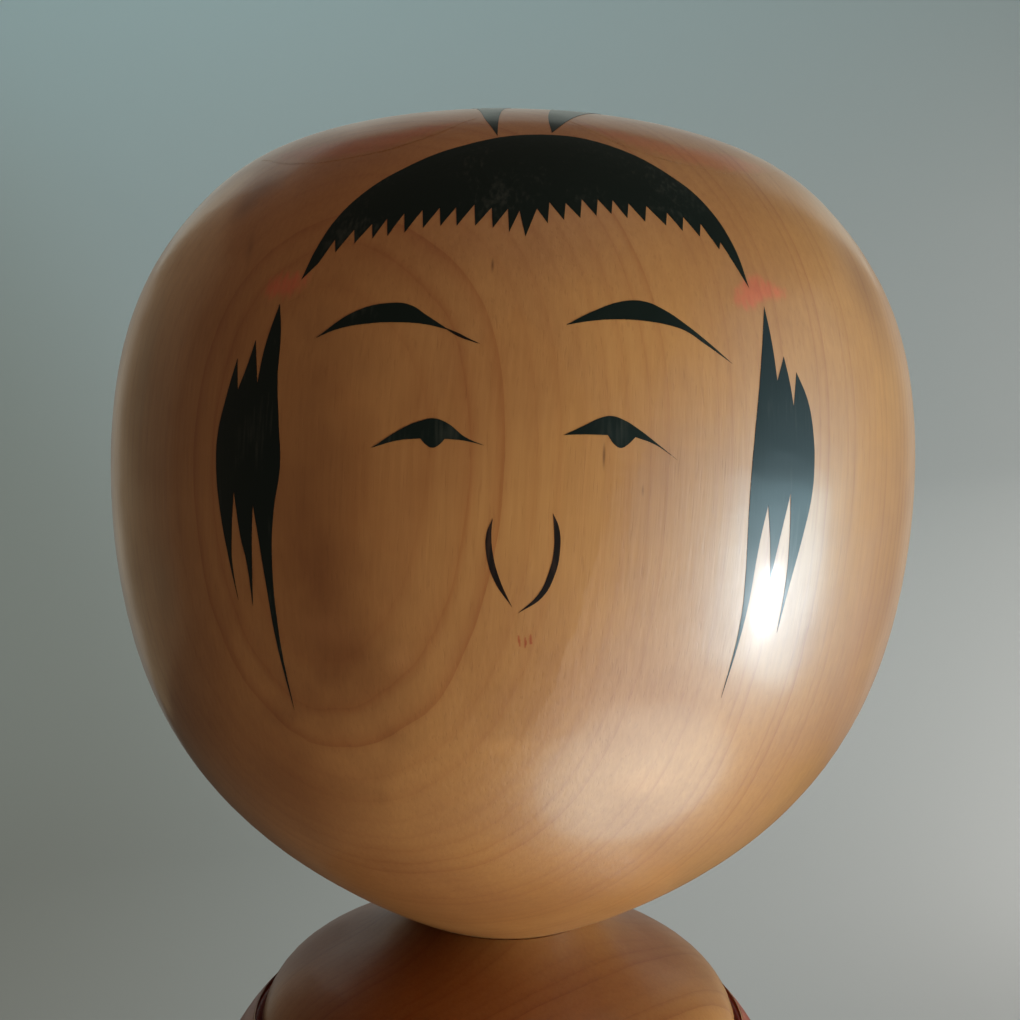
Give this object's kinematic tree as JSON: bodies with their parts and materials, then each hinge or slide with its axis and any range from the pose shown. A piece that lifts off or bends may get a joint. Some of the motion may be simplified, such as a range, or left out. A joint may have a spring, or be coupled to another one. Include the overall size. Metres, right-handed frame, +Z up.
{
  "type": "kokeshi doll",
  "caption": "Turned wooden kokeshi doll: a large round head with a bellied neck tenon that twists in the socket of a waisted, domed-shoulder body.",
  "frame": {"origin": "centre of the standing base, on the plane that it stands on", "axes": "+Z up along the turning axis and the head's joint; -Y towards the painted face"},
  "size_m": [0.1, 0.1, 0.318],
  "materials": {
    "body_wood": "aged amber hardwood, waxed and burnished to a soft gloss",
    "head_wood": "aged amber hardwood, waxed and burnished to a soft gloss",
    "black_ink": "brushed black ink under wax, on wood",
    "red_dye": "brushed red dye under wax, on wood, browned with age",
    "pink_dye": "brushed red dye, faded to pink, on wood",
    "green_dye": "brushed green dye under wax, on wood, faded with age"
  },
  "bodies": {
    "body": {"body": "body_wood"},
    "head": {"head": "head_wood"}
  },
  "joints": [
    {"name": "head_turn", "type": "hinge", "parent": "body", "child": "head", "pos_m": [0, 0, 0.2193], "axis": [0, 0, 1], "continuous": true}
  ]
}
